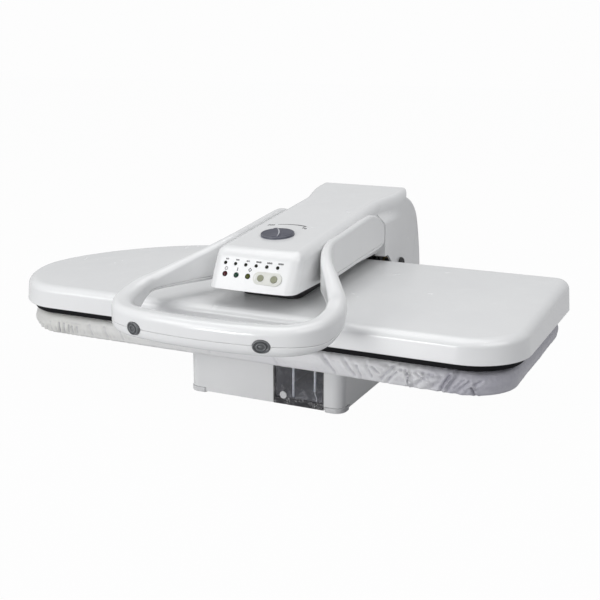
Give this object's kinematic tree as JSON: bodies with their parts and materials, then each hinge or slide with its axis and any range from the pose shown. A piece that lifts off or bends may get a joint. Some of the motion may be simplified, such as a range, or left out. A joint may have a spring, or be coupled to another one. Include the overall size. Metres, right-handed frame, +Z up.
{
  "type": "steam ironing press",
  "caption": "Compact table-top steam ironing press: heated shoe on a hinged arm with a loop handle, padded board and base with a pull-out water tank.",
  "frame": {"origin": "middle of the underside of the bounding box, on the table under the feet", "axes": "+X to the right of the person at the press, +Y away from them towards the hinge, +Z up"},
  "size_m": [0.697, 0.5516, 0.2283],
  "materials": {
    "white_plastic": "gloss white moulded shell",
    "grey_plastic": "satin mid grey",
    "dial_plastic": "satin slate",
    "bezel_plastic": "matt beige grey",
    "pad_rubber": "soft matt",
    "smoke_plastic": "dark smoked clear plastic",
    "tube_plastic": "translucent white",
    "black_rubber": "matt black",
    "foot_rubber": "matt light grey",
    "cover_fabric": "silver coated cotton",
    "pad_foam": "felt and foam",
    "steel_zinc": "zinc plated pressed steel",
    "spring_steel": "oiled spring steel",
    "plate_aluminium": "dark non-stick coating",
    "cast_aluminium": "as cast",
    "brass_metal": "satin",
    "circuit_green": "green circuit board",
    "lens_red": "clear red",
    "lens_green": "clear green",
    "lens_yellow": "clear yellow green",
    "lens_dark": "dark clear"
  },
  "bodies": {
    "base": {"base_housing": "white_plastic", "base_floor": "steel_zinc", "foot_front_left": "foot_rubber", "foot_front_right": "foot_rubber", "foot_rear_left": "foot_rubber", "foot_rear_right": "foot_rubber", "hinge_column": "steel_zinc", "link_pin": "spring_steel", "hinge_pin": "spring_steel", "column_sleeve": "grey_plastic", "counterbalance_spring_left": "spring_steel", "counterbalance_spring_right": "spring_steel", "water_pump": "brass_metal", "cord_gland": "black_rubber", "board_tray": "steel_zinc", "board_foam": "pad_foam", "board_cover": "cover_fabric"},
    "water_tank_unit": {"water_tank": "smoke_plastic", "tank_plug": "tube_plastic", "tank_tubes": "tube_plastic"},
    "arm": {"arm_cover": "white_plastic", "arm_rear_cover": "white_plastic", "arm_under_cover": "white_plastic", "arm_frame": "steel_zinc", "shoe_bracket": "steel_zinc", "shoe_cover": "white_plastic", "shoe_seal": "black_rubber", "heat_plate": "plate_aluminium", "heating_element": "steel_zinc", "steam_chamber": "cast_aluminium", "thermostat": "grey_plastic", "control_board": "circuit_green", "button_bezel": "bezel_plastic", "indicator_light_strip": "lens_dark", "indicator_lens_red": "lens_red", "indicator_lens_green": "lens_green", "indicator_lens_yellow": "lens_yellow", "hinge_bush_left": "brass_metal", "hinge_bush_right": "brass_metal", "pivot_cap_left": "black_rubber", "pivot_cap_right": "black_rubber", "shoe_standoff_front_left": "steel_zinc", "shoe_standoff_front_right": "steel_zinc", "shoe_standoff_rear_left": "steel_zinc", "shoe_standoff_rear_right": "steel_zinc"},
    "handle": {"handle_upper_shell": "white_plastic", "handle_lower_shell": "white_plastic", "handle_pivot_shaft": "spring_steel", "handle_side_bar_left": "steel_zinc", "handle_side_bar_right": "steel_zinc", "steam_switch_left": "black_rubber", "steam_switch_right": "black_rubber"},
    "toggle": {"toggle_link": "steel_zinc"},
    "dial": {"temperature_dial": "dial_plastic", "dial_shaft": "spring_steel"},
    "steam_key_left": {"steam_button_left": "grey_plastic"},
    "steam_key_right": {"steam_button_right": "grey_plastic"},
    "panel_key_left": {"panel_button_left": "pad_rubber"},
    "panel_key_right": {"panel_button_right": "pad_rubber"}
  },
  "joints": [
    {"name": "arm_hinge", "type": "hinge", "parent": "base", "child": "arm", "pos_m": [0.0225, 0.18425, 0.1245], "axis": [-1, 0, 0], "range_deg": [0, 36]},
    {"name": "handle_hinge", "type": "hinge", "parent": "arm", "child": "handle", "pos_m": [0.0225, 0.09275, 0.184], "axis": [-1, 0, 0], "range_deg": [0, 27.1]},
    {"name": "toggle_hinge", "type": "hinge", "parent": "base", "child": "toggle", "pos_m": [0.0225, 0.17375, 0.09], "axis": [-1, 0, 0], "range_deg": [0, 21.41]},
    {"name": "dial_turn", "type": "hinge", "parent": "arm", "child": "dial", "pos_m": [0.0165, -0.05675, 0.20153], "axis": [0, -0.0975, 0.9952], "range_deg": [0, 270]},
    {"name": "tank_slide", "type": "slide", "parent": "base", "child": "water_tank_unit", "axis": [0, -1, 0], "range_m": [0, 0.16]},
    {"name": "steam_press_left", "type": "slide", "parent": "handle", "child": "steam_key_left", "axis": [0.342, 0.9397, 0], "range_m": [0, 0.0025], "stiffness_N_per_m": 400, "springref_m": -0.002},
    {"name": "steam_press_right", "type": "slide", "parent": "handle", "child": "steam_key_right", "axis": [-0.342, 0.9397, 0], "range_m": [0, 0.0025], "stiffness_N_per_m": 400, "springref_m": -0.002},
    {"name": "panel_press_left", "type": "slide", "parent": "arm", "child": "panel_key_left", "axis": [0, 0.8837, -0.4681], "range_m": [0, 0.0008], "stiffness_N_per_m": 400, "springref_m": -0.001},
    {"name": "panel_press_right", "type": "slide", "parent": "arm", "child": "panel_key_right", "axis": [0, 0.8837, -0.4681], "range_m": [0, 0.0008], "stiffness_N_per_m": 400, "springref_m": -0.001}
  ],
  "couplings": [
    {"joint": "handle_hinge", "follows": "arm_hinge", "ratio": 0.75},
    {"joint": "toggle_hinge", "follows": "arm_hinge", "ratio": 0.592}
  ]
}
